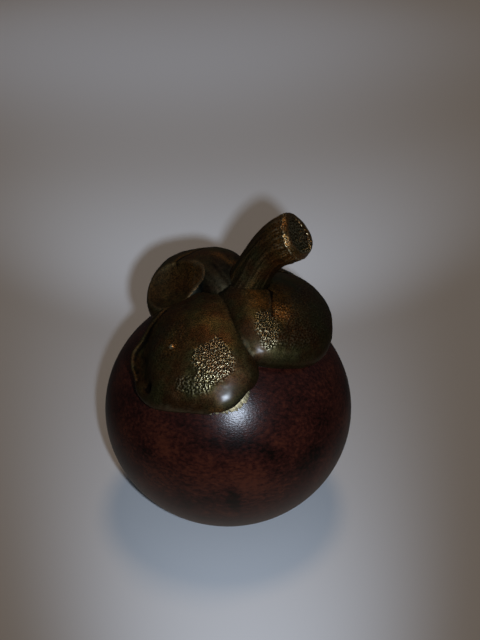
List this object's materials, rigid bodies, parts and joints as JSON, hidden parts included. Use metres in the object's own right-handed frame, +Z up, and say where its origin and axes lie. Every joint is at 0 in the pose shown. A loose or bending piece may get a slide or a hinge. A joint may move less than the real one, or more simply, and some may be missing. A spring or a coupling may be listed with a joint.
{
  "type": "ornamental mangosteen",
  "caption": "Turned wooden mangosteen on a small flat spot, crowned by a cast bronze calyx of thick overlapping sepals and a bent stem with a flared cut end.",
  "frame": {"origin": "centre of the flat spot under the fruit", "axes": "+Z up along the fruit's axis; -Y is the front, where the largest sepal hangs down; the stem leans towards +X"},
  "size_m": [0.1, 0.1, 0.1296],
  "materials": {
    "fruit_wood": "dark red-brown wood, stained and polished to a soft gloss",
    "bronze": "cast bronze with a dark brown patina, rubbed brassy on the high spots"
  },
  "bodies": {
    "root": {"fruit_body": "fruit_wood", "stem": "bronze", "sepal_right": "bronze", "sepal_back_left": "bronze", "sepal_front_left": "bronze", "sepal_back_right": "bronze"}
  },
  "joints": []
}
